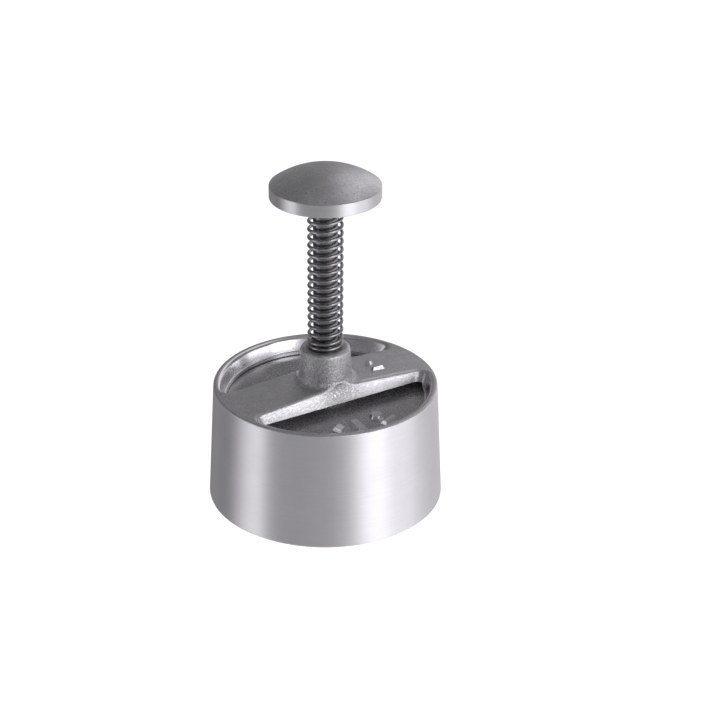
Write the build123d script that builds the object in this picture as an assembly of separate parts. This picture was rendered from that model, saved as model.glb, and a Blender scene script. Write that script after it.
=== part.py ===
from build123d import *
import os
from math import cos, hypot, radians, sin, tan

# Patty press, in millimetres.  The frame's origin is the centre of the cup's open rim, on the
# surface it stands on.  +Z runs up through the knob, and the bridge across the cup runs along X.
# At rest the spring holds the plunger in its highest place.

os.makedirs("parts", exist_ok=True)

# ---- driving dimensions -------------------------------------------------------------------------

MOUTH_RADIUS = 50.0            # half of the 100 mm patty
MOUTH_WALL = 4.0
MOUTH_CHAMFER = 0.6            # inside edge of the open rim
FOOT_EDGE_RADIUS = 0.8         # outside edge of the open rim
CUP_HEIGHT = 55.0
OUTER_DRAFT = 3.2              # degrees; the outside narrows upwards
INNER_DRAFT = 2.6              # degrees
RIM_ROUND = 0.8                # outside edge of the closed end

LAND_RADIUS = 45.0             # thin upright land at the edge of the D-shaped openings
RIM_UNDERSIDE_Z = 47.4         # the plate comes up to this face
LEDGE_Z = 48.9                 # top of the land
COVE_FOOT_RADIUS = 45.7        # the sloping cove starts here, on the ledge
LEDGE_FILLET = 0.5
OPENING_DRAFT = 20.0           # degrees; the openings' walls lean back all round
OPENING_CORNER_ROUND = 4.0     # where the cove meets the bridge's face
OPENING_EDGE_ROUND = 2.0
CAVITY_CORNER_ROUND = 0.5

BRIDGE_HALF_WIDTH = 12.2       # beside the hub, where the bridge's faces turn upright
BRIDGE_FACE_BLEND = 10.0       # radius of that turn
BRIDGE_FACE_HEIGHT = 6.6       # from the underside up to the turn
BRIDGE_UNDERSIDE_Z = 50.7
BRIDGE_CROWN = 3.5             # rise of the bridge's top from the rim to the hub

HUB_TOP_Z = 73.2
HUB_TOP_RADIUS = 11.2
HUB_FOOT_RADIUS = 12.2
HUB_FOOT_FILLET = 3.0
HUB_TOP_ROUND = 1.8

ROD_RADIUS = 5.5
ROD_RUNNING_GAP = 0.05         # radial, in the bush
ROD_END_RADIUS = 4.0           # both ends are stepped down
ROD_END_EDGE = 0.5
ROD_END_GAP = 0.3              # beyond the rod in each of its sockets
BUSH_RADIUS = 7.0
BUSH_LEAD_IN = 0.4

SPRING_MEAN_RADIUS = 7.35
WIRE_RADIUS = 0.75
OPEN_PITCH = 3.85
CLOSED_PITCH = 1.56            # end coils, a hair over the wire's thickness
SPRING_START_ANGLE = 88.7      # degrees from +X, where the wire's lower end lies

WASHER_RADIUS = 8.7
WASHER_HOLE_RADIUS = 5.9
WASHER_THICKNESS = 1.0
WASHER_EDGE = 0.2
WASHER_POCKET_GAP = 0.1        # radial, round the lower washer
CAP_RUNNING_GAP = 0.05         # between the upper washer and the knob, which turns on it

PLATE_RADIUS = 47.2
PLATE_TOP_Z = 47.0
PLATE_THICKNESS = 6.5
PLATE_EDGE_ROUND = 1.0
PLATE_BOSS_RADIUS = 9.4
PLATE_BOSS_TOP_Z = 50.4
PLATE_BOSS_FILLET = 3.2
PLATE_SHELF_THICKNESS = 3.0    # left under the rod's socket

SCREW_RADIUS = 2.5
SCREW_HEAD_RADIUS = 5.0
SCREW_HEAD_HEIGHT = 2.6
SCREW_LENGTH = 15.0
SCREW_SLOT_WIDTH = 1.2
SCREW_SLOT_DEPTH = 1.1
TAPPED_HOLE_SPARE = 1.5        # depth of the rod's tapped hole beyond the screw

KNOB_RADIUS = 24.57
KNOB_UNDERSIDE_Z = 144.8
KNOB_BAND_HEIGHT = 5.9
KNOB_DOME_HEIGHT = 7.96
KNOB_EDGE_ROUND = 0.6
KNOB_BOSS_RADIUS = 9.5
KNOB_RIM_WALL = 3.0
KNOB_HOLLOW_DEPTH = 4.0
KNOB_HOLLOW_RISE = 2.0         # the hollow deepens this much towards the boss
KNOB_HOLLOW_TAPER = 0.4
KNOB_HOLLOW_ROUND = 1.5
KNOB_SOCKET_COVER = 4.0        # left over the rod's socket

PIN_RADIUS = 1.0
PIN_Z = 148.2
PIN_RECESS = 0.3               # each end lies this far below the boss's skin

MARK_HEIGHT = 1.5              # raised casting marks
MARK_TAPER = 26.0              # degrees
MARK_ROOT = 0.3                # how far a mark's solid reaches into its casting
PLATE_LOZENGE = (9.0, 7.0)     # length outwards and width
PLATE_BAR = (10.0, 5.2)
PLATE_DISC_RADIUS = 3.4
PLATE_CROSSBAR = (3.6, 8.8)
PLATE_LOZENGE_AT = (31.5, -110)    # distance from the axis, and degrees from +X
PLATE_BAR_AT = (31.5, -94)
PLATE_DISC_AT = (29.6, -71)
PLATE_CROSSBAR_AT = (36.4, -70)
BRIDGE_DISC_RADIUS = 2.0
BRIDGE_BAR = (6.4, 2.8)
BRIDGE_DISC_AT = (24.9, 2.2)   # x and y
BRIDGE_BAR_AT = (25.2, -4.4)

OVERRUN = 1.0                  # cutters reach this far past the surface they cut
NEAR = 0.1                     # edges are picked by position to this closeness
TOUCHING = 0.001

# ---- derived dimensions -------------------------------------------------------------------------

BASE_RADIUS = MOUTH_RADIUS + MOUTH_WALL
TOP_RADIUS = BASE_RADIUS - CUP_HEIGHT * tan(radians(OUTER_DRAFT))
INNER_TOP_RADIUS = MOUTH_RADIUS - RIM_UNDERSIDE_Z * tan(radians(INNER_DRAFT))
CROWN_Z = CUP_HEIGHT + BRIDGE_CROWN
CUTTER_TOP_Z = CROWN_Z + 4 * OVERRUN
SEAT_POCKET_Z = HUB_TOP_Z - WASHER_THICKNESS

PLATE_UNDERSIDE_Z = PLATE_TOP_Z - PLATE_THICKNESS
PLATE_SHELF_Z = PLATE_UNDERSIDE_Z + PLATE_SHELF_THICKNESS
ROD_LOW_Z = PLATE_SHELF_Z + ROD_END_GAP

KNOB_BOSS_Z = KNOB_UNDERSIDE_Z + WASHER_THICKNESS + CAP_RUNNING_GAP
KNOB_SHOULDER_Z = KNOB_UNDERSIDE_Z + KNOB_BAND_HEIGHT
KNOB_TOP_Z = KNOB_SHOULDER_Z + KNOB_DOME_HEIGHT
KNOB_SOCKET_Z = KNOB_TOP_Z - KNOB_SOCKET_COVER
ROD_TOP_Z = KNOB_SOCKET_Z - ROD_END_GAP

SPRING_LOW_Z = HUB_TOP_Z + WIRE_RADIUS
SPRING_HIGH_Z = KNOB_UNDERSIDE_Z - WIRE_RADIUS

CAST_GREY = (0.66, 0.66, 0.68)
TURNED_GREY = (0.74, 0.74, 0.76)
STEEL_GREY = (0.42, 0.42, 0.44)
DARK_STEEL = (0.26, 0.26, 0.28)
BRONZE = (0.68, 0.50, 0.26)


def crown_height(radius):
    """Height of the closed end's slightly conical top at a distance from the axis."""
    return CROWN_Z - BRIDGE_CROWN * radius / TOP_RADIUS


# ---- helpers ------------------------------------------------------------------------------------

def turned(*corners):
    """Solid of revolution about Z.  Each corner is (radius, height, corner rounding)."""
    points = [(radius, 0, height) for radius, height, _ in corners]
    roundings = [rounding for _, _, rounding in corners]
    outline = FilletPolyline(*points, radius=roundings, close=True)
    return revolve(make_face(outline), Axis.Z)


def upright(radius, low, high):
    """Plain upright cylinder between two heights."""
    return Pos(0, 0, low) * Cylinder(radius, high - low, align=(Align.CENTER, Align.CENTER, Align.MIN))


def raised_mark(face, x, y, z, turn):
    """A tapered pad on a casting's surface at (x, y, z)."""
    pad = extrude(face, MARK_HEIGHT + MARK_ROOT, taper=MARK_TAPER)
    return Pos(x, y, z - MARK_ROOT) * Rot(0, 0, turn) * pad


def lozenge(length, width):
    corners = ((-length / 2, 0), (0, -width / 2), (length / 2, 0), (0, width / 2))
    return make_face(Polyline(*corners, close=True))


# ---- cup casting --------------------------------------------------------------------------------

def casting_blank():
    """Ring, closed end and hub, before anything is cut away."""
    return turned(
        (0, 0, 0),
        (BASE_RADIUS, 0, FOOT_EDGE_RADIUS),
        (TOP_RADIUS, CUP_HEIGHT, RIM_ROUND),
        (HUB_FOOT_RADIUS, crown_height(HUB_FOOT_RADIUS), HUB_FOOT_FILLET),
        (HUB_TOP_RADIUS, HUB_TOP_Z, HUB_TOP_ROUND),
        (0, HUB_TOP_Z, 0),
    )


def cavity():
    """Room for the patty and the plate, with the relief under the bridge."""
    return turned(
        (0, -OVERRUN, 0),
        (MOUTH_RADIUS + MOUTH_CHAMFER + OVERRUN, -OVERRUN, 0),
        (MOUTH_RADIUS, MOUTH_CHAMFER, 0),
        (INNER_TOP_RADIUS, RIM_UNDERSIDE_Z, CAVITY_CORNER_ROUND),
        (LAND_RADIUS, RIM_UNDERSIDE_Z, 0),
        (LAND_RADIUS, BRIDGE_UNDERSIDE_Z, 0),
        (0, BRIDGE_UNDERSIDE_Z, 0),
    )


def opening_cutter(side):
    """One D-shaped opening beside the bridge.  Its wall leans back all round, as a cast opening
    does, and turns upright where it meets the hub."""
    lean = tan(radians(OPENING_DRAFT))
    height = CUTTER_TOP_Z - LEDGE_Z
    across = 4 * BASE_RADIUS
    turn_z = BRIDGE_UNDERSIDE_Z + BRIDGE_FACE_HEIGHT
    foot_half_width = BRIDGE_HALF_WIDTH + (turn_z - LEDGE_Z) * lean
    wide_radius = COVE_FOOT_RADIUS + height * lean
    above_ledge = (Align.CENTER, Align.CENTER, Align.MIN)
    cove = Pos(0, 0, LEDGE_Z) * Cone(COVE_FOOT_RADIUS, wide_radius, height, align=above_ledge)
    block = Pos(0, side * across / 2) * Box(across, across, across)
    beside_face = Pos(0, side * foot_half_width, LEDGE_Z) * Rot(side * OPENING_DRAFT, 0, 0) * block
    beside_hub = Pos(0, side * BRIDGE_HALF_WIDTH, LEDGE_Z) * block
    cutter = cove & beside_face & beside_hub
    turn = [
        edge for edge in cutter.edges()
        if abs(edge.center().Z - turn_z) < NEAR and abs(edge.center().X) < NEAR
    ]
    cutter = fillet(turn, BRIDGE_FACE_BLEND)
    corners = [
        edge for edge in cutter.edges()
        if edge.bounding_box().min.Z < LEDGE_Z + NEAR and edge.bounding_box().max.Z > LEDGE_Z + NEAR
    ]
    cutter = fillet(corners, OPENING_CORNER_ROUND)
    ledge = [edge for edge in cutter.edges() if edge.bounding_box().max.Z < LEDGE_Z + NEAR]
    return fillet(ledge, LEDGE_FILLET)


def breakout_edges(body, blank, cutter):
    """The edges where a cutter breaks out through the blank's skin."""
    skin = blank.shell()
    return [
        edge for edge in body.edges()
        if skin.distance_to(edge @ 0.5) < TOUCHING and cutter.distance_to(edge @ 0.5) < TOUCHING
    ]


def cup_casting():
    blank = casting_blank()
    body = blank - cavity()
    for side in (-1, 1):
        cutter = opening_cutter(side)
        body -= cutter
        body = fillet(breakout_edges(body, blank, cutter), OPENING_EDGE_ROUND)
    body -= upright(BUSH_RADIUS, BRIDGE_UNDERSIDE_Z - OVERRUN, SEAT_POCKET_Z)
    body -= upright(WASHER_RADIUS + WASHER_POCKET_GAP, SEAT_POCKET_Z, HUB_TOP_Z + OVERRUN)
    for face, (x, y) in ((Circle(BRIDGE_DISC_RADIUS), BRIDGE_DISC_AT), (Rectangle(*BRIDGE_BAR), BRIDGE_BAR_AT)):
        body += raised_mark(face, x, y, crown_height(hypot(x, y)), 0)
    return body


def guide_bush():
    """Bronze bush pressed in the hub, with a lead-in at both ends of its bore."""
    bore = ROD_RADIUS + ROD_RUNNING_GAP
    return turned(
        (bore + BUSH_LEAD_IN, BRIDGE_UNDERSIDE_Z, 0),
        (BUSH_RADIUS, BRIDGE_UNDERSIDE_Z, 0),
        (BUSH_RADIUS, SEAT_POCKET_Z, 0),
        (bore + BUSH_LEAD_IN, SEAT_POCKET_Z, 0),
        (bore, SEAT_POCKET_Z - BUSH_LEAD_IN, 0),
        (bore, BRIDGE_UNDERSIDE_Z + BUSH_LEAD_IN, 0),
    )


# ---- spring and its washers ---------------------------------------------------------------------

def washer(low):
    high = low + WASHER_THICKNESS
    return turned(
        (WASHER_HOLE_RADIUS, low, 0),
        (WASHER_RADIUS, low, WASHER_EDGE),
        (WASHER_RADIUS, high, WASHER_EDGE),
        (WASHER_HOLE_RADIUS, high, 0),
    )


def coil_path(low, rise, pitch, start_angle):
    """Helical centre line of part of the spring, and the angle where it ends."""
    path = Pos(0, 0, low) * Rot(0, 0, start_angle) * Helix(pitch, rise, SPRING_MEAN_RADIUS)
    return path, start_angle + 360 * rise / pitch


def return_spring():
    """Open coils with one closed coil at each end."""
    open_rise = SPRING_HIGH_Z - SPRING_LOW_Z - 2 * CLOSED_PITCH
    low_path, angle = coil_path(SPRING_LOW_Z, CLOSED_PITCH, CLOSED_PITCH, SPRING_START_ANGLE)
    open_path, angle = coil_path(SPRING_LOW_Z + CLOSED_PITCH, open_rise, OPEN_PITCH, angle)
    high_path, angle = coil_path(SPRING_HIGH_Z - CLOSED_PITCH, CLOSED_PITCH, CLOSED_PITCH, angle)
    path = Wire([low_path.edge(), open_path.edge(), high_path.edge()])
    section = Plane(path @ 0, z_dir=path % 0) * Circle(WIRE_RADIUS)
    return sweep(section, path, is_frenet=True)


# ---- plunger ------------------------------------------------------------------------------------

def lock_pin_shape():
    """Cross pin through the knob's boss and the rod, along X."""
    length = 2 * (KNOB_BOSS_RADIUS - PIN_RECESS)
    return Pos(0, 0, PIN_Z) * Rot(0, 90, 0) * Cylinder(PIN_RADIUS, length)


def plunger_rod():
    """Straight rod with a stepped end up in the knob and one down in the plate."""
    rod = turned(
        (0, ROD_LOW_Z, 0),
        (ROD_END_RADIUS, ROD_LOW_Z, ROD_END_EDGE),
        (ROD_END_RADIUS, PLATE_BOSS_TOP_Z, 0),
        (ROD_RADIUS, PLATE_BOSS_TOP_Z, 0),
        (ROD_RADIUS, KNOB_BOSS_Z, 0),
        (ROD_END_RADIUS, KNOB_BOSS_Z, 0),
        (ROD_END_RADIUS, ROD_TOP_Z, ROD_END_EDGE),
        (0, ROD_TOP_Z, 0),
    )
    hole_top = PLATE_UNDERSIDE_Z + SCREW_LENGTH + TAPPED_HOLE_SPARE
    tapped_hole = upright(SCREW_RADIUS, ROD_LOW_Z - OVERRUN, hole_top)
    return rod - tapped_hole - lock_pin_shape()


def palm_knob():
    """Low domed knob, hollow underneath round a central boss."""
    hollow_ceiling = KNOB_UNDERSIDE_Z + KNOB_HOLLOW_DEPTH
    hollow_radius = KNOB_RADIUS - KNOB_RIM_WALL
    blank = turned(
        (0, KNOB_BOSS_Z, 0),
        (KNOB_BOSS_RADIUS, KNOB_BOSS_Z, KNOB_EDGE_ROUND),
        (KNOB_BOSS_RADIUS + KNOB_HOLLOW_TAPER, hollow_ceiling + KNOB_HOLLOW_RISE, KNOB_HOLLOW_ROUND),
        (hollow_radius - KNOB_HOLLOW_TAPER, hollow_ceiling, KNOB_HOLLOW_ROUND),
        (hollow_radius, KNOB_UNDERSIDE_Z, KNOB_EDGE_ROUND),
        (KNOB_RADIUS, KNOB_UNDERSIDE_Z, KNOB_EDGE_ROUND),
        (KNOB_RADIUS, KNOB_TOP_Z, 0),
        (0, KNOB_TOP_Z, 0),
    )
    dome_radius = (KNOB_RADIUS**2 + KNOB_DOME_HEIGHT**2) / (2 * KNOB_DOME_HEIGHT)
    knob = blank & Pos(0, 0, KNOB_TOP_Z - dome_radius) * Sphere(dome_radius)
    shoulder = [
        edge for edge in knob.edges().filter_by(GeomType.CIRCLE)
        if edge.radius > KNOB_RADIUS - NEAR and abs(edge.center().Z - KNOB_SHOULDER_Z) < NEAR
    ]
    knob = fillet(shoulder, KNOB_EDGE_ROUND)
    return knob - upright(ROD_END_RADIUS, KNOB_BOSS_Z - OVERRUN, KNOB_SOCKET_Z) - lock_pin_shape()


def knob_lock_pin():
    return lock_pin_shape()


def plate_mark(face, place):
    distance, angle = place
    x = distance * cos(radians(angle))
    y = distance * sin(radians(angle))
    return raised_mark(face, x, y, PLATE_TOP_Z, angle)


def plunger_plate():
    """Flat pressing plate with a low boss, and plain raised marks near its edge."""
    blank = turned(
        (0, PLATE_UNDERSIDE_Z, 0),
        (PLATE_RADIUS, PLATE_UNDERSIDE_Z, PLATE_EDGE_ROUND),
        (PLATE_RADIUS, PLATE_TOP_Z, PLATE_EDGE_ROUND),
        (PLATE_BOSS_RADIUS, PLATE_TOP_Z, PLATE_BOSS_FILLET),
        (PLATE_BOSS_RADIUS, PLATE_BOSS_TOP_Z, 0),
        (0, PLATE_BOSS_TOP_Z, 0),
    )
    countersink = turned(
        (0, PLATE_UNDERSIDE_Z, 0),
        (SCREW_HEAD_RADIUS, PLATE_UNDERSIDE_Z, 0),
        (SCREW_RADIUS, PLATE_UNDERSIDE_Z + SCREW_HEAD_HEIGHT, 0),
        (SCREW_RADIUS, PLATE_SHELF_Z, 0),
        (0, PLATE_SHELF_Z, 0),
    )
    plate = blank - countersink - upright(ROD_END_RADIUS, PLATE_SHELF_Z, PLATE_BOSS_TOP_Z + OVERRUN)
    plate += plate_mark(lozenge(*PLATE_LOZENGE), PLATE_LOZENGE_AT)
    plate += plate_mark(Rectangle(*PLATE_BAR), PLATE_BAR_AT)
    plate += plate_mark(Circle(PLATE_DISC_RADIUS), PLATE_DISC_AT)
    plate += plate_mark(Rectangle(*PLATE_CROSSBAR), PLATE_CROSSBAR_AT)
    return plate


def plate_screw():
    """Slotted countersunk screw, flush with the plate's underside."""
    screw = turned(
        (0, PLATE_UNDERSIDE_Z, 0),
        (SCREW_HEAD_RADIUS, PLATE_UNDERSIDE_Z, 0),
        (SCREW_RADIUS, PLATE_UNDERSIDE_Z + SCREW_HEAD_HEIGHT, 0),
        (SCREW_RADIUS, PLATE_UNDERSIDE_Z + SCREW_LENGTH, ROD_END_EDGE),
        (0, PLATE_UNDERSIDE_Z + SCREW_LENGTH, 0),
    )
    slot = Box(3 * SCREW_HEAD_RADIUS, SCREW_SLOT_WIDTH, 2 * SCREW_SLOT_DEPTH)
    return screw - Pos(0, 0, PLATE_UNDERSIDE_Z) * slot


# ---- the assembly -------------------------------------------------------------------------------

def write(node, part, colour):
    part.label = node
    part.color = Color(*colour)
    export_step(part, f"parts/{node}.step")


write("cup_casting", cup_casting(), CAST_GREY)
write("guide_bush", guide_bush(), BRONZE)
write("spring_seat_washer", washer(SEAT_POCKET_Z), STEEL_GREY)
write("return_spring", return_spring(), DARK_STEEL)
write("spring_cap_washer", washer(KNOB_UNDERSIDE_Z), STEEL_GREY)
write("plunger_rod", plunger_rod(), STEEL_GREY)
write("palm_knob", palm_knob(), TURNED_GREY)
write("knob_lock_pin", knob_lock_pin(), STEEL_GREY)
write("plunger_plate", plunger_plate(), CAST_GREY)
write("plate_screw", plate_screw(), STEEL_GREY)
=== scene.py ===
from math import cos, pi, radians, sin

import bpy
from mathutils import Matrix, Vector


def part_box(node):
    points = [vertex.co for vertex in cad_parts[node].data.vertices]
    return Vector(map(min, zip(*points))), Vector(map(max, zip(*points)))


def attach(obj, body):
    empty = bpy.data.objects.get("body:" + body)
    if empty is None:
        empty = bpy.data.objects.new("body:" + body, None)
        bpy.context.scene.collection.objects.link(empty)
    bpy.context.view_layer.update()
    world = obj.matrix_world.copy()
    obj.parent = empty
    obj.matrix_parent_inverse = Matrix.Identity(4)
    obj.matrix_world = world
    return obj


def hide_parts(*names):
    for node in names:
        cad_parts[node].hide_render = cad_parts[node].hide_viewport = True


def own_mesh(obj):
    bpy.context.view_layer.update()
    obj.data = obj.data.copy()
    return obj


# Looks of the patty press: a return spring that compresses with round wire, procedural metals,
# a pale floor, a soft studio and the camera.  Lengths are in metres unless a name says mm.

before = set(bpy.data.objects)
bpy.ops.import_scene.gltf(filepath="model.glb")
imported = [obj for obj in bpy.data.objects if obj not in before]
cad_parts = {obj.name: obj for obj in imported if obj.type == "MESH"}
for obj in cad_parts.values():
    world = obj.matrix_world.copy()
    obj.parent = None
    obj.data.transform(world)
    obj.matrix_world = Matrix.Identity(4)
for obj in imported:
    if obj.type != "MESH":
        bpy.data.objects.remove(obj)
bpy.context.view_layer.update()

MM = 0.001

# ---- sizes read from the frame ------------------------------------------------------------------

HUB_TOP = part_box("cup_casting")[1].z
SPRING_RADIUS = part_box("return_spring")[1].x
CAP_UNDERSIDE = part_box("spring_cap_washer")[0].z

# ---- return spring: the wire and coils have the CAD node's sizes --------------------------------

WIRE_RADIUS = 0.75 * MM
MEAN_RADIUS = SPRING_RADIUS - WIRE_RADIUS
CLOSED_PITCH = 1.56 * MM
OPEN_PITCH = 3.85 * MM
CLOSED_TURNS_EACH_END = 1
START_ANGLE = radians(88.7)
WIRE_LOW_Z = HUB_TOP + WIRE_RADIUS
WIRE_HIGH_Z = CAP_UNDERSIDE - WIRE_RADIUS
CLOSED_RISE = 2 * CLOSED_TURNS_EACH_END * CLOSED_PITCH
OPEN_RISE = WIRE_HIGH_Z - WIRE_LOW_Z - CLOSED_RISE
POINTS_PER_TURN = 48
WIRE_SIDES = 20

# ---- zones of the castings: a least and a most radius, and a least and a most height ------------

ANY_RADIUS = (0.0, 1.0)
ANY_HEIGHT = (-1.0, 1.0)
ANY_FACING = 2.0
WALL_RADII = (50.75 * MM, 1.0)
WALL_HEIGHTS = (-1.0, 54.3 * MM)
BORE_RADII = (47.0 * MM, 50.75 * MM)
BORE_HEIGHTS = (-1.0, 47.3 * MM)
COVE_RADII = (25.0 * MM, 1.0)
COVE_HEIGHTS = (47.35 * MM, 56.5 * MM)
COVE_FACING = -0.3
DOME_HEIGHTS = (150.6 * MM, 1.0)
MARK_RADII = (20.0 * MM, 44.0 * MM)
MARK_HEIGHTS = (47.2 * MM, 49.0 * MM)
HUB_GRAIN_RADIUS = 11 * MM     # inside this the cast grain is the hub's
BODY_GRAIN_RADIUS = 20 * MM    # and outside this it is the body's

# ---- camera -------------------------------------------------------------------------------------

CAMERA_AZIMUTH = -31.5
CAMERA_ELEVATION = 26.7
CAMERA_DISTANCE = 0.831
AIM_HEIGHT = 65.944 * MM
LENS_MM = 91.98
SENSOR_MM = 36.0
FRAMING_SHIFT = 0.048

# ---- studio: angles in degrees, azimuths from the camera's own ----------------------------------

# Each softbox has four azimuths and four elevations, where its light starts to rise, is full,
# starts to fall and is gone, and a strength.  The last two take light away, as black flags do.
SOFTBOXES = (
    ((22, 42, 56, 68), (-12, 4, 24, 42), 2.4),            # key, on the right
    ((60, 70, 88, 98), (-2, 4, 16, 26), 1.5),             # low strip beside the key
    ((95, 110, 130, 150), (42, 52, 62, 76), 0.6),         # high, behind on the right
    ((0, 58, 80, 180), (-95, -91, 2, 8), 0.60),           # pale board, low on the right
    ((-107, -74, -67, -57), (-95, -91, -35, 73), 1.0),    # tall strip on the left
    ((125, 150, 158, 174), (-20, -8, 50, 66), 0.55),      # edge light, behind on the right
    ((-200, -190, -160, -140), (-70, -50, -22, -8), -0.18),
    ((150, 168, 190, 200), (-70, -50, -22, -8), -0.14),
)
TABLE_ELEVATIONS = (-63, 22)
TABLE_LIGHT = (0.98, 0.23)     # at those elevations, before the shares below
TABLE_EVEN_SHARE = 0.65
TABLE_AWAY_SHARE = -0.12
TABLE_RIGHT_SHARE = 0.15
WALLS_AWAY = (0.3, 1.0)        # how far from the camera the direction points, 1 for straight away
WALLS_LIGHT = 0.10
CEILING_ELEVATIONS = (52, 80)
CEILING_LIGHT = 0.08
LIGHT_TINT = (1.0, 0.99, 1.02)

WHITE = (1.0, 1.0, 1.0, 1.0)
FLOOR_SIZE = 60
FLOOR_GREY = (0.6, 0.6, 0.6, 1.0)
FLOOR_GLOW = 0.95

# ---- metal finishes: shades are shares of a metal's own value, and roughness changes are added --

METAL_TINT = (1.0, 0.985, 1.015)    # aluminium's slightly cool grey
DARK_BRONZE = (0.52, 0.36, 0.20, 1.0)
LIGHT_BRONZE = (0.66, 0.47, 0.27, 1.0)
RELIEF_STRENGTH = 1.0

TURNED_SHADES = (0.84, 1.14)
TURNED_LINE_SHARE = 0.6             # the rest of the shading is clouds
TURNED_CONTRAST = (0.2, 0.8)
TURNED_ROUGHNESS = (-0.03, 0.03)
TURNED_DEPTH = 0.012 * MM
GROOVE_HEIGHT = 0.3                 # beside a dent's depth of 1
GROOVE_STRETCH = (0.02, 0.02, 1.0)
DENT_SHADE = 0.4
DENT_COVER = 0.5
BRUSHED = {"Anisotropic": 0.9, "Anisotropic Rotation": 0.25}

CAST_SHADES = (0.95, 1.05)
CAST_ROUGHNESS = (0.06, -0.04)
FINE_CONTRAST = (0.36, 0.64)
CLOUD_CONTRAST = (0.35, 0.65)
PIT_SHADE = 0.3

PLAIN_CONTRAST = (0.25, 0.75)
PLAIN_ROUGHNESS = (-0.04, 0.06)
PLAIN_DEPTH = 0.03 * MM


# ---- node building ------------------------------------------------------------------------------

class Graph:
    """A node tree being built.  An input is a number, a colour or another node's output."""

    def __init__(self, tree):
        self.tree = tree
        tree.nodes.clear()

    def feed(self, socket, value):
        if isinstance(value, bpy.types.NodeSocket):
            self.tree.links.new(value, socket)
        else:
            socket.default_value = value

    def node(self, kind, inputs=None, **settings):
        made = self.tree.nodes.new(kind)
        for name, value in settings.items():
            setattr(made, name, value)
        for name, value in (inputs or {}).items():
            self.feed(made.inputs[name], value)
        return made

    def math(self, operation, first, second=0.0):
        return self.node("ShaderNodeMath", {0: first, 1: second}, operation=operation).outputs[0]

    def add(self, first, second):
        return self.math("ADD", first, second)

    def subtract(self, first, second):
        return self.math("SUBTRACT", first, second)

    def times(self, first, second):
        return self.math("MULTIPLY", first, second)

    def divide(self, first, second):
        return self.math("DIVIDE", first, second)

    def split(self, vector):
        """The three parts of a vector."""
        return self.node("ShaderNodeSeparateXYZ", {0: vector}).outputs

    def length(self, first, second):
        squares = self.add(self.times(first, first), self.times(second, second))
        return self.math("SQRT", squares)

    def ease(self, value, low, high, start=0.0, end=1.0):
        """Goes smoothly from start to end as value goes from low to high, and is level beyond."""
        limits = {"Value": value, "From Min": low, "From Max": high, "To Min": start, "To Max": end}
        made = self.node("ShaderNodeMapRange", limits, interpolation_type="SMOOTHSTEP")
        return made.outputs["Result"]

    def between(self, value, limits):
        """1 where value lies between two limits, and 0 elsewhere."""
        above = self.math("GREATER_THAN", value, limits[0])
        return self.times(above, self.math("LESS_THAN", value, limits[1]))

    def tint(self, factor, first, second):
        """Colour between first and second."""
        made = self.node("ShaderNodeMix", {"Factor": factor}, data_type="RGBA")
        self.feed(made.inputs[6], first)
        self.feed(made.inputs[7], second)
        return made.outputs[2]

    def object_place(self):
        return self.node("ShaderNodeTexCoord").outputs["Object"]

    def noise(self, place, size_mm, detail, roughness, stretch=(1, 1, 1)):
        """Noise from 0 to 1 with features of about size_mm, longer along an axis whose stretch is
        small."""
        scale = [share / (size_mm * MM) for share in stretch]
        scaled = self.node("ShaderNodeMapping", {"Vector": place, "Scale": scale}).outputs[0]
        inputs = {"Vector": scaled, "Scale": 1.0, "Detail": detail, "Roughness": roughness}
        return self.node("ShaderNodeTexNoise", inputs).outputs["Fac"]

    def spots(self, place, spacing_mm, radius, softness):
        """1 inside scattered round spots and 0 outside, with radius as a share of their spacing."""
        inputs = {"Vector": place, "Scale": 1 / (spacing_mm * MM)}
        distance = self.node("ShaderNodeTexVoronoi", inputs).outputs["Distance"]
        return self.ease(distance, radius, radius + softness, start=1.0, end=0.0)


def grey(value):
    red, green, blue = (value * part for part in METAL_TINT)
    return (red, green, blue, 1.0)


# ---- world and floor ----------------------------------------------------------------------------

def softbox(graph, azimuth, elevation, sides, heights, strength):
    """Brightness of a softbox with eased edges, at a direction."""
    light = strength
    for angle, corners in ((azimuth, sides), (elevation, heights)):
        rise_start, rise_end, fall_start, fall_end = [radians(corner) for corner in corners]
        rise = graph.ease(angle, rise_start, rise_end)
        fall = graph.ease(angle, fall_start, fall_end, start=1.0, end=0.0)
        light = graph.times(light, graph.times(rise, fall))
    return light


def room_light(graph, away, right, elevation):
    """Brightness of the pale table below, the dim walls behind and the ceiling."""
    table_low, table_high = [radians(angle) for angle in TABLE_ELEVATIONS]
    ceiling_low, ceiling_high = [radians(angle) for angle in CEILING_ELEVATIONS]
    slope = graph.add(graph.times(away, TABLE_AWAY_SHARE), graph.times(right, TABLE_RIGHT_SHARE))
    table = graph.times(
        graph.ease(elevation, table_low, table_high, *TABLE_LIGHT),
        graph.add(slope, TABLE_EVEN_SHARE),
    )
    walls = graph.ease(away, *WALLS_AWAY, end=WALLS_LIGHT)
    ceiling = graph.ease(elevation, ceiling_low, ceiling_high, end=CEILING_LIGHT)
    return graph.add(graph.add(table, walls), ceiling)


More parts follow.
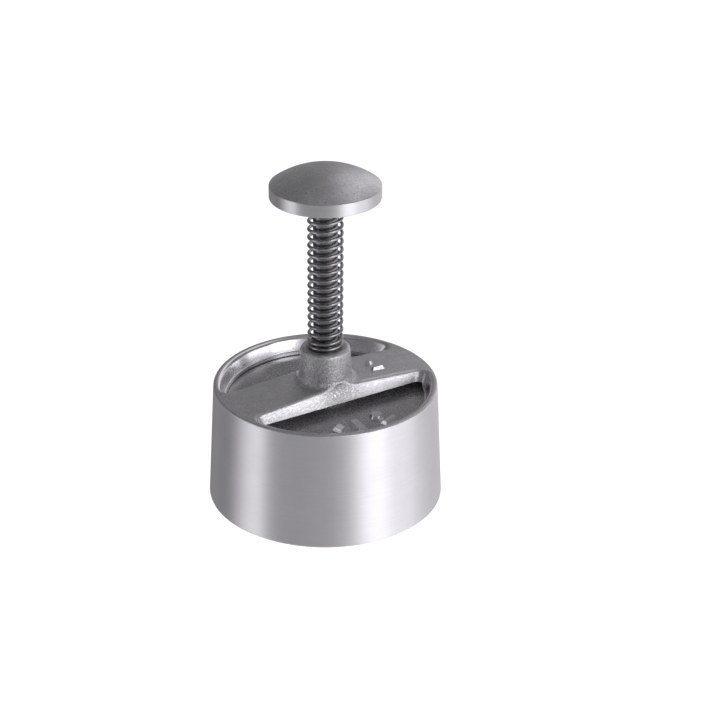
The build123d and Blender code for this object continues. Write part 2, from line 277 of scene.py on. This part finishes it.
def studio_world():
    """A plain soft studio that stays with the photograph's camera angle.  A camera itself sees a
    plain white sweep."""
    world = bpy.data.worlds.new("studio")
    bpy.context.scene.world = world
    world.use_nodes = True
    graph = Graph(world.node_tree)
    direction = graph.node("ShaderNodeTexCoord").outputs["Generated"]
    turned = graph.node(
        "ShaderNodeVectorRotate",
        {"Vector": direction, "Angle": radians(-CAMERA_AZIMUTH)},
        rotation_type="Z_AXIS",
    ).outputs[0]
    right, away, up = graph.split(turned)
    azimuth = graph.math("ARCTAN2", right, graph.times(away, -1.0))
    elevation = graph.math("ARCSINE", up)
    light = room_light(graph, away, right, elevation)
    for sides, heights, strength in SOFTBOXES:
        light = graph.add(light, softbox(graph, azimuth, elevation, sides, heights, strength))
    channels = {i: graph.times(light, part) for i, part in enumerate(LIGHT_TINT)}
    colour = graph.node("ShaderNodeCombineColor", channels).outputs[0]
    lit = graph.node("ShaderNodeBackground", {"Color": colour, "Strength": 1.0}).outputs[0]
    seen = graph.node("ShaderNodeBackground", {"Color": WHITE, "Strength": 1.0}).outputs[0]
    camera_ray = graph.node("ShaderNodeLightPath").outputs["Is Camera Ray"]
    mixed = graph.node("ShaderNodeMixShader", {0: camera_ray, 1: lit, 2: seen}).outputs[0]
    graph.node("ShaderNodeOutputWorld", {"Surface": mixed})


def pale_floor():
    bpy.ops.mesh.primitive_plane_add(size=FLOOR_SIZE)
    floor = bpy.context.object
    floor.name = "floor"
    floor.visible_glossy = False
    floor.visible_shadow = False
    material, graph = new_material("pale_floor")
    inputs = {
        "Base Color": FLOOR_GREY,
        "Roughness": 1.0,
        "Specular IOR Level": 0.0,
        "Emission Color": WHITE,
        "Emission Strength": FLOOR_GLOW,
    }
    shader = graph.node("ShaderNodeBsdfPrincipled", inputs)
    graph.node("ShaderNodeOutputMaterial", {"Surface": shader.outputs[0]})
    floor.data.materials.append(material)


def photo_camera():
    azimuth = radians(CAMERA_AZIMUTH)
    elevation = radians(CAMERA_ELEVATION)
    back = Vector((sin(azimuth) * cos(elevation), -cos(azimuth) * cos(elevation), sin(elevation)))
    data = bpy.data.cameras.new("camera")
    data.lens = LENS_MM
    data.sensor_width = SENSOR_MM
    data.shift_x = FRAMING_SHIFT
    camera = bpy.data.objects.new("camera", data)
    camera.location = Vector((0, 0, AIM_HEIGHT)) + CAMERA_DISTANCE * back
    camera.rotation_euler = back.to_track_quat("Z", "Y").to_euler()
    bpy.context.collection.objects.link(camera)
    bpy.context.scene.camera = camera


# ---- materials ----------------------------------------------------------------------------------

def new_material(name):
    material = bpy.data.materials.new(name)
    material.use_nodes = True
    return material, Graph(material.node_tree)


def metal_shader(graph, colour, roughness, height, depth, **more):
    """Puts a metal shader at the end of a material.  height is a relief from 0 to 1 and depth its
    size in metres."""
    relief = {"Height": height, "Distance": depth, "Strength": RELIEF_STRENGTH}
    normal = graph.node("ShaderNodeBump", relief).outputs[0]
    inputs = {
        "Metallic": 1.0,
        "Base Color": colour,
        "Roughness": roughness,
        "Normal": normal,
        **more,
    }
    shader = graph.node("ShaderNodeBsdfPrincipled", inputs)
    graph.node("ShaderNodeOutputMaterial", {"Surface": shader.outputs[0]})


def varied(roughness, changes):
    """A metal's roughness at its lowest and at its highest relief."""
    low_change, high_change = changes
    return roughness + low_change, roughness + high_change


def turned_metal(name, value, roughness):
    """Metal turned on a lathe: fine grooves round Z, which draw highlights out along Z, and a few
    small dents."""
    material, graph = new_material(name)
    place = graph.object_place()
    lines = graph.noise(place, size_mm=0.3, detail=3.0, roughness=0.6, stretch=GROOVE_STRETCH)
    clouds = graph.noise(place, size_mm=12.0, detail=4.0, roughness=0.65)
    dents = graph.spots(place, spacing_mm=16.0, radius=0.015, softness=0.012)
    shade = graph.add(
        graph.times(lines, TURNED_LINE_SHARE),
        graph.times(clouds, 1 - TURNED_LINE_SHARE),
    )
    colour = graph.tint(shade, *[grey(share * value) for share in TURNED_SHADES])
    colour = graph.tint(graph.times(dents, DENT_COVER), colour, grey(DENT_SHADE * value))
    rough = graph.ease(lines, *TURNED_CONTRAST, *varied(roughness, TURNED_ROUGHNESS))
    height = graph.subtract(graph.times(lines, GROOVE_HEIGHT), dents)
    tangent = graph.node("ShaderNodeTangent", direction_type="RADIAL", axis="Z").outputs[0]
    metal_shader(graph, colour, rough, height, TURNED_DEPTH, Tangent=tangent, **BRUSHED)
    return material


def cast_metal(name, value, roughness, grain, depth_mm, hub_grain=None, pits=0.0, metallic=1.0):
    """Cast aluminium: a mottled grain, which may be stronger near the axis, and scattered pits.
    The grains are shares of the metal's value, and depth_mm is their relief."""
    material, graph = new_material(name)
    place = graph.object_place()
    x, y = graph.split(place)[:2]
    centre_grain = grain if hub_grain is None else hub_grain
    radius = graph.length(x, y)
    grain_here = graph.ease(radius, HUB_GRAIN_RADIUS, BODY_GRAIN_RADIUS, centre_grain, grain)
    fine = graph.ease(graph.noise(place, size_mm=0.8, detail=3.0, roughness=0.7), *FINE_CONTRAST)
    clouds = graph.ease(graph.noise(place, size_mm=7.0, detail=4.0, roughness=0.6), *CLOUD_CONTRAST)
    holes = graph.times(graph.spots(place, spacing_mm=1.5, radius=0.12, softness=0.10), clouds)
    even = graph.tint(clouds, *[grey(share * value) for share in CAST_SHADES])
    dark = graph.tint(grain_here, even, grey(0.0))
    colour = graph.tint(fine, dark, even)
    colour = graph.tint(graph.times(holes, pits), colour, grey(PIT_SHADE * value))
    rough = graph.ease(fine, 0.0, 1.0, *varied(roughness, CAST_ROUGHNESS))
    depth = graph.times(grain_here, depth_mm * MM)
    metal_shader(graph, colour, rough, fine, depth, Metallic=metallic)
    return material


def plain_metal(name, dark, light, roughness):
    """Bright drawn or turned metal in a fine mottle of two colours."""
    material, graph = new_material(name)
    place = graph.object_place()
    fine = graph.noise(place, size_mm=0.5, detail=2.0, roughness=0.6)
    colour = graph.tint(fine, dark, light)
    rough = graph.ease(fine, *PLAIN_CONTRAST, *varied(roughness, PLAIN_ROUGHNESS))
    metal_shader(graph, colour, rough, fine, PLAIN_DEPTH)
    return material


# ---- modifiers ----------------------------------------------------------------------------------

def modifier_graph(target, name):
    """Adds an empty Geometry Nodes modifier to an object."""
    tree = bpy.data.node_groups.new(name, "GeometryNodeTree")
    for direction in ("INPUT", "OUTPUT"):
        tree.interface.new_socket("Geometry", in_out=direction, socket_type="NodeSocketGeometry")
    target.modifiers.new(name, "NODES").node_group = tree
    return Graph(tree)


def finish_modifier(graph, geometry, material, selection=True):
    """Gives the chosen faces a material and puts the geometry out."""
    painted = graph.node("GeometryNodeSetMaterial", {"Geometry": geometry, "Selection": selection})
    painted.inputs["Material"].default_value = material
    graph.node("NodeGroupOutput", {0: painted.outputs[0]})


def paint_zone(
    node_name, zone_name, material, radii=ANY_RADIUS, heights=ANY_HEIGHT, facing=ANY_FACING
):
    """Gives the faces of a CAD node between two radii and two heights another material.  facing is
    the most that their normals may point away from the axis, and -1 is straight in."""
    graph = modifier_graph(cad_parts[node_name], zone_name)
    x, y, z = graph.split(graph.node("GeometryNodeInputPosition").outputs[0])
    normal_x, normal_y = graph.split(graph.node("GeometryNodeInputNormal").outputs[0])[:2]
    radius = graph.length(x, y)
    leaving = graph.add(graph.times(x, normal_x), graph.times(y, normal_y))
    turned_in = graph.math("LESS_THAN", graph.divide(leaving, radius), facing)
    placed = graph.times(graph.between(radius, radii), graph.between(z, heights))
    mesh = graph.node("NodeGroupInput").outputs[0]
    finish_modifier(graph, mesh, material, graph.times(placed, turned_in))


def wire_modifier(target, material):
    """Draws round wire along the centre line.  When the line is pressed down, the open coils close
    up and the end coils keep their pitch."""
    graph = modifier_graph(target, "round_wire")
    line = graph.node("NodeGroupInput").outputs[0]
    top = graph.node("GeometryNodeBoundBox", {0: line}).outputs["Max"]
    pressed_top = graph.split(top)[2]
    open_left = graph.subtract(pressed_top, WIRE_LOW_Z + CLOSED_RISE)
    share = graph.divide(open_left, OPEN_RISE)
    closed = graph.node("GeometryNodeInputNamedAttribute", {"Name": "closed_rise"}).outputs[0]
    opened = graph.node("GeometryNodeInputNamedAttribute", {"Name": "open_rise"}).outputs[0]
    x, y = graph.split(graph.node("GeometryNodeInputPosition").outputs[0])[:2]
    z = graph.add(graph.add(closed, WIRE_LOW_Z), graph.times(share, opened))
    place = graph.node("ShaderNodeCombineXYZ", {0: x, 1: y, 2: z}).outputs[0]
    moved = graph.node("GeometryNodeSetPosition", {"Geometry": line, "Position": place}).outputs[0]
    curve = graph.node("GeometryNodeMeshToCurve", {0: moved}).outputs[0]
    circle = {"Resolution": WIRE_SIDES, "Radius": WIRE_RADIUS}
    ring = graph.node("GeometryNodeCurvePrimitiveCircle", circle).outputs[0]
    sweep = {"Curve": curve, "Profile Curve": ring, "Fill Caps": True}
    tube = graph.node("GeometryNodeCurveToMesh", sweep).outputs[0]
    smooth = graph.node("GeometryNodeSetShadeSmooth", {0: tube}).outputs[0]
    finish_modifier(graph, smooth, material)


# ---- return spring ------------------------------------------------------------------------------

def spring_rows():
    """Points of the wire's centre line from the bottom up: the angle, and how much of the height
    comes from closed coils and how much from open ones."""
    open_turns = OPEN_RISE / OPEN_PITCH
    turns = open_turns + 2 * CLOSED_TURNS_EACH_END
    count = round(turns * POINTS_PER_TURN)
    rows = []
    for step in range(count + 1):
        turn = turns * step / count
        opened = min(max(turn - CLOSED_TURNS_EACH_END, 0), open_turns)
        closed = turn - opened
        rows.append((START_ANGLE + 2 * pi * turn, closed * CLOSED_PITCH, opened * OPEN_PITCH))
    return rows


def coil_spring(material):
    rows = spring_rows()
    points = [
        (MEAN_RADIUS * cos(angle), MEAN_RADIUS * sin(angle), WIRE_LOW_Z + closed + opened)
        for angle, closed, opened in rows
    ]
    mesh = bpy.data.meshes.new("coil_spring")
    mesh.from_pydata(points, [(i, i + 1) for i in range(len(points) - 1)], [])
    for name, column in (("closed_rise", 1), ("open_rise", 2)):
        attribute = mesh.attributes.new(name, "FLOAT", "POINT")
        attribute.data.foreach_set("value", [row[column] for row in rows])
    mesh.materials.append(material)
    spring = bpy.data.objects.new("coil_spring", mesh)
    bpy.context.collection.objects.link(spring)
    wire_modifier(spring, material)
    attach(spring, "cup")
    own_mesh(spring)
    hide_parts("return_spring")


# ---- dressing the CAD nodes ---------------------------------------------------------------------

def dress(node_name, material):
    """Gives a whole CAD node its material."""
    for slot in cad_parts[node_name].material_slots:
        slot.material = material


def dress_cup():
    """Cast skin, a turned wall and bore, and smoother coves round the openings."""
    skin = cast_metal(
        "cast_skin", value=0.80, roughness=0.34, grain=0.18, depth_mm=0.22, hub_grain=0.42
    )
    wall = turned_metal("turned_wall", value=0.80, roughness=0.42)
    bore = turned_metal("turned_bore", value=0.74, roughness=0.40)
    cove = cast_metal("cove_skin", value=0.88, roughness=0.19, grain=0.08, depth_mm=0.04)
    dress("cup_casting", skin)
    paint_zone("cup_casting", "wall_zone", wall, WALL_RADII, WALL_HEIGHTS)
    paint_zone("cup_casting", "bore_zone", bore, BORE_RADII, BORE_HEIGHTS)
    paint_zone("cup_casting", "cove_zone", cove, COVE_RADII, COVE_HEIGHTS, COVE_FACING)


def dress_knob():
    """A turned band under a pitted cast dome."""
    dome = cast_metal("knob_dome", value=0.82, roughness=0.36, grain=0.16, depth_mm=0.12, pits=0.9)
    dress("palm_knob", turned_metal("knob_band", value=0.74, roughness=0.42))
    paint_zone("palm_knob", "dome_zone", dome, heights=DOME_HEIGHTS)


def dress_plate():
    """A cast face darkened as painted shade, and raised marks made bright as a painted highlight.
    """
    # The face's low value and partly metallic look are painted shade for the plate's deep place
    # under the rim and bridge.
    shade_painted_face = cast_metal(
        "plate_painted_shade", value=0.54, roughness=0.27, grain=0.06, depth_mm=0.06, metallic=0.65
    )
    # The marks' high value is a painted highlight that sets them off from the shaded face.
    highlight_painted_marks = cast_metal("mark_painted_highlight", value=0.92, roughness=0.18, grain=0.04, depth_mm=0.02)
    dress("plunger_plate", shade_painted_face)
    paint_zone("plunger_plate", "mark_highlight_zone", highlight_painted_marks, MARK_RADII, MARK_HEIGHTS)


def dress_small_parts():
    washer = plain_metal("washer_steel", grey(0.43), grey(0.57), roughness=0.30)
    fastener = plain_metal("fastener_steel", grey(0.47), grey(0.63), roughness=0.30)
    dress("spring_seat_washer", washer)
    dress("spring_cap_washer", washer)
    dress("knob_lock_pin", fastener)
    dress("plate_screw", fastener)
    dress("plunger_rod", plain_metal("rod_steel", grey(0.26), grey(0.34), roughness=0.28))
    dress("guide_bush", plain_metal("bush_bronze", DARK_BRONZE, LIGHT_BRONZE, roughness=0.30))


# ---- the scene ----------------------------------------------------------------------------------

bpy.context.scene.view_settings.view_transform = "Standard"
dress_cup()
dress_knob()
dress_plate()
dress_small_parts()
coil_spring(plain_metal("spring_wire", grey(0.32), grey(0.44), roughness=0.24))
studio_world()
pale_floor()
photo_camera()
